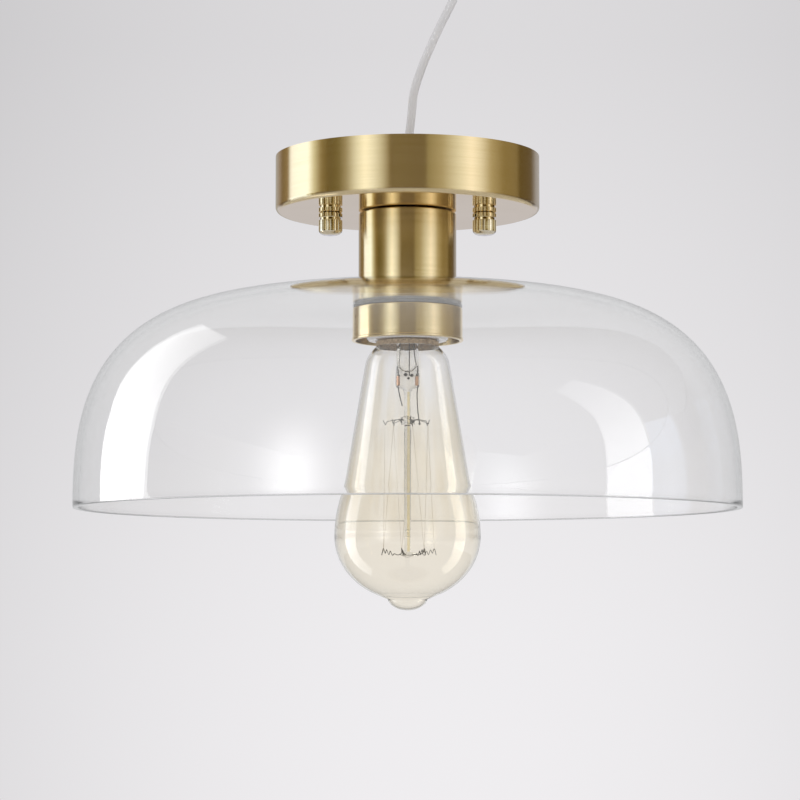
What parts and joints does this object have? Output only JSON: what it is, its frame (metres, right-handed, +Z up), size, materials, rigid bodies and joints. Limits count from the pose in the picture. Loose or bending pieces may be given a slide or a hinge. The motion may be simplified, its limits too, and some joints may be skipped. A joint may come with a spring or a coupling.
{
  "type": "glass dome flush mount ceiling light",
  "caption": "Flush mount ceiling light: a satin brass canopy and socket cup carry a wide clear glass dome, clamped by a threaded ring, round a tapered filament bulb.",
  "frame": {"origin": "centre of the mounting strap on the ceiling plane", "axes": "+Z up into the ceiling along the light's axis, +X along the mounting strap, -Y towards the viewer in the picture"},
  "size_m": [0.3, 0.3, 0.2933],
  "materials": {
    "satin_brass": "satin brushed, polished on the canopy's underside",
    "polished_brass": "polished and fluted",
    "plain_brass": "turned",
    "zinc_steel": "zinc plated",
    "green_steel": "green passivated",
    "dark_washer": "matt",
    "porcelain": "glazed porcelain",
    "nickel": "nickel plated",
    "clear_pvc": "clear sheath over silvery cores",
    "wire_sheath": "glossy",
    "tinned": "tinned",
    "clear_glass": "clear, polished",
    "amber_glass": "clear at the neck, amber tint below",
    "silicone": "clear and slightly frosted",
    "cap_metal": "rolled shell with a cement rim",
    "black_vitrite": "black glass",
    "dark_wire": "drawn wire"
  },
  "bodies": {
    "ceiling_bracket": {"mounting_strap": "zinc_steel", "earth_screw": "green_steel", "stud_left": "zinc_steel", "stud_right": "zinc_steel", "stud_locknuts": "zinc_steel"},
    "canopy_assembly": {"canopy": "satin_brass", "nipple": "plain_brass", "lock_washer": "zinc_steel", "canopy_locknut": "plain_brass", "cord_grip": "plain_brass", "cord_grip_screw": "zinc_steel", "cup_washer": "dark_washer", "socket_cup": "satin_brass", "cup_locknut": "plain_brass", "holder_bracket": "zinc_steel", "holder_screws": "zinc_steel", "lampholder_body": "porcelain", "screw_shell": "nickel", "centre_contact": "plain_brass", "terminals": "plain_brass", "lead_inner": "clear_pvc", "line_wire": "wire_sheath", "neutral_wire": "wire_sheath", "supply_lead": "clear_pvc", "lead_tails": "tinned"},
    "cap_nut_left": {"cap_nut_left": "polished_brass"},
    "cap_nut_right": {"cap_nut_right": "polished_brass"},
    "glass_shade": {"glass_dome": "clear_glass", "shade_gasket": "silicone"},
    "shade_ring": {"shade_ring": "satin_brass"},
    "bulb": {"bulb_glass": "amber_glass", "bulb_cap": "cap_metal", "bulb_insulator": "black_vitrite", "bulb_contact": "tinned", "bulb_stem": "clear_glass", "filament_supports": "dark_wire", "lead_in_wires": "dark_wire", "filament": "dark_wire"}
  },
  "joints": [
    {"name": "canopy_lower", "type": "slide", "parent": "ceiling_bracket", "child": "canopy_assembly", "axis": [0, 0, -1], "range_m": [0, 0.00665]},
    {"name": "cap_nut_left_turn", "type": "hinge", "parent": "canopy_assembly", "child": "cap_nut_left", "pos_m": [-0.035, 0, -0.031], "axis": [0, 0, -1], "range_deg": [0, 3420]},
    {"name": "cap_nut_right_turn", "type": "hinge", "parent": "canopy_assembly", "child": "cap_nut_right", "pos_m": [0.035, 0, -0.031], "axis": [0, 0, -1], "range_deg": [0, 3420]},
    {"name": "glass_lower", "type": "slide", "parent": "canopy_assembly", "child": "glass_shade", "axis": [0, 0, -1], "range_m": [0, 0.01125]},
    {"name": "shade_ring_turn", "type": "hinge", "parent": "glass_shade", "child": "shade_ring", "pos_m": [0, 0, -0.077], "axis": [0, 0, -1], "range_deg": [0, 2700]},
    {"name": "bulb_turn", "type": "hinge", "parent": "canopy_assembly", "child": "bulb", "pos_m": [0, 0, -0.074], "axis": [0, 0, -1], "range_deg": [0, 1170]}
  ],
  "couplings": [
    {"joint": "cap_nut_left_turn", "follows": "canopy_lower", "rad_per_m": 8976},
    {"joint": "cap_nut_right_turn", "follows": "canopy_lower", "rad_per_m": 8976},
    {"joint": "shade_ring_turn", "follows": "glass_lower", "rad_per_m": 4188.8}
  ]
}
